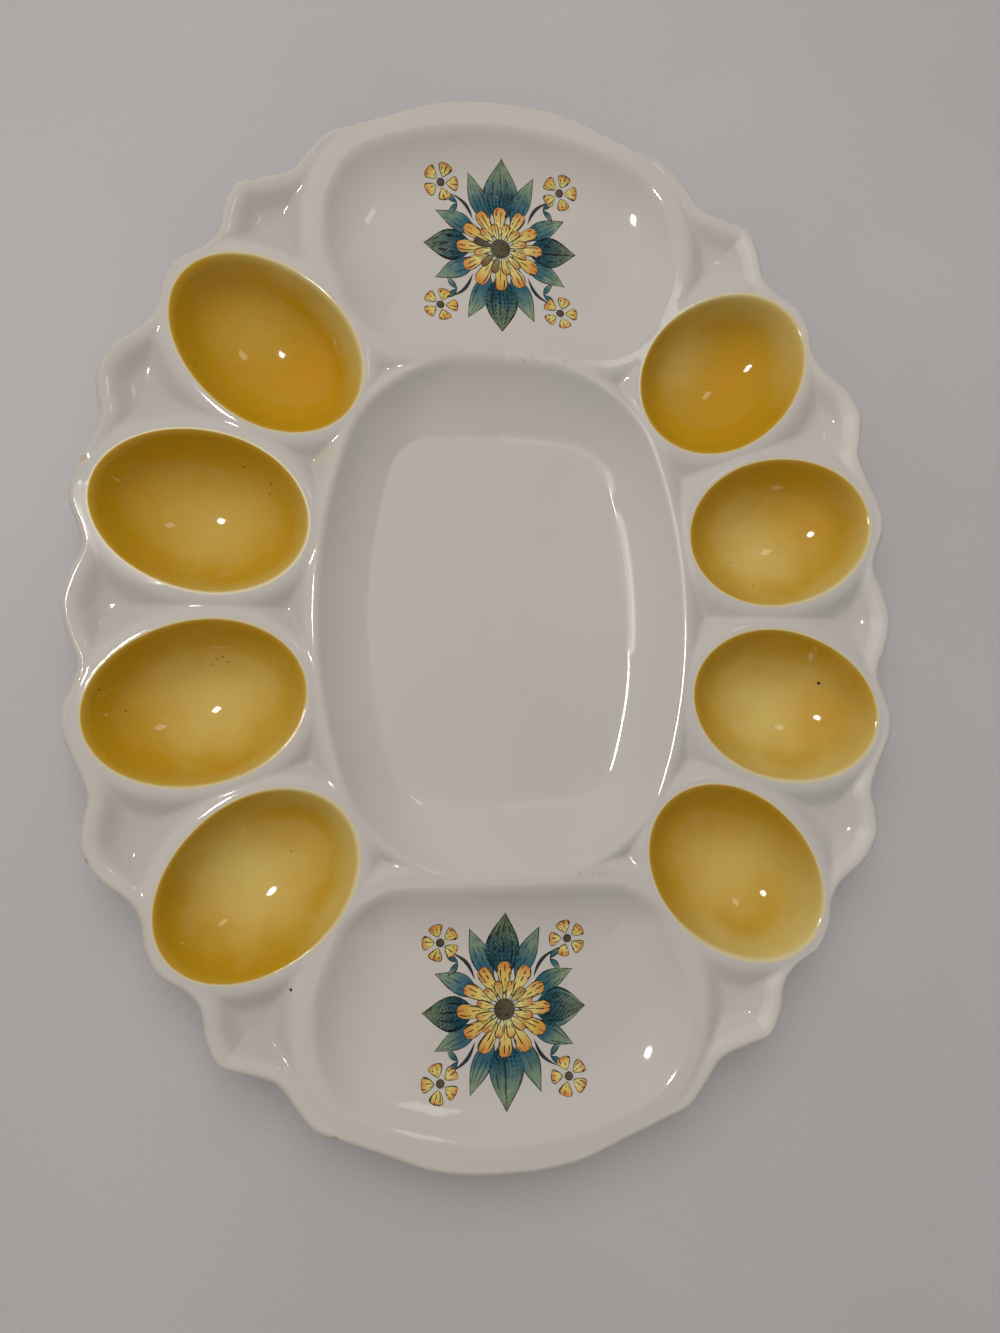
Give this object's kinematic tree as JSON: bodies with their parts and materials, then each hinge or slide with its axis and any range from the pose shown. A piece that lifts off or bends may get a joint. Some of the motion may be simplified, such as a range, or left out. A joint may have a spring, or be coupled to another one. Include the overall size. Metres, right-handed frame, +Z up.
{
  "type": "deviled egg platter",
  "caption": "Scalloped oval earthenware platter with egg-shaped wells round a bowed centre basin and a shallow compartment at each end.",
  "frame": {"origin": "centre of the foot ring on the table, under the middle of the platter", "axes": "+X across the width, +Y along the length towards the far end of the picture, +Z up out of the wells"},
  "size_m": [0.257, 0.33, 0.025],
  "materials": {
    "white_glaze": "gloss",
    "yellow_glaze": "gloss",
    "yellow_enamel": "gloss",
    "green_enamel": "gloss"
  },
  "bodies": {
    "root": {"platter_body": "white_glaze", "yellow_lining_left_1": "yellow_glaze", "yellow_lining_left_2": "yellow_glaze", "yellow_lining_left_3": "yellow_glaze", "yellow_lining_left_4": "yellow_glaze", "yellow_lining_right_1": "yellow_glaze", "yellow_lining_right_2": "yellow_glaze", "yellow_lining_right_3": "yellow_glaze", "yellow_lining_right_4": "yellow_glaze", "far_blossoms": "yellow_enamel", "far_leaves": "green_enamel", "near_blossoms": "yellow_enamel", "near_leaves": "green_enamel"}
  },
  "joints": []
}
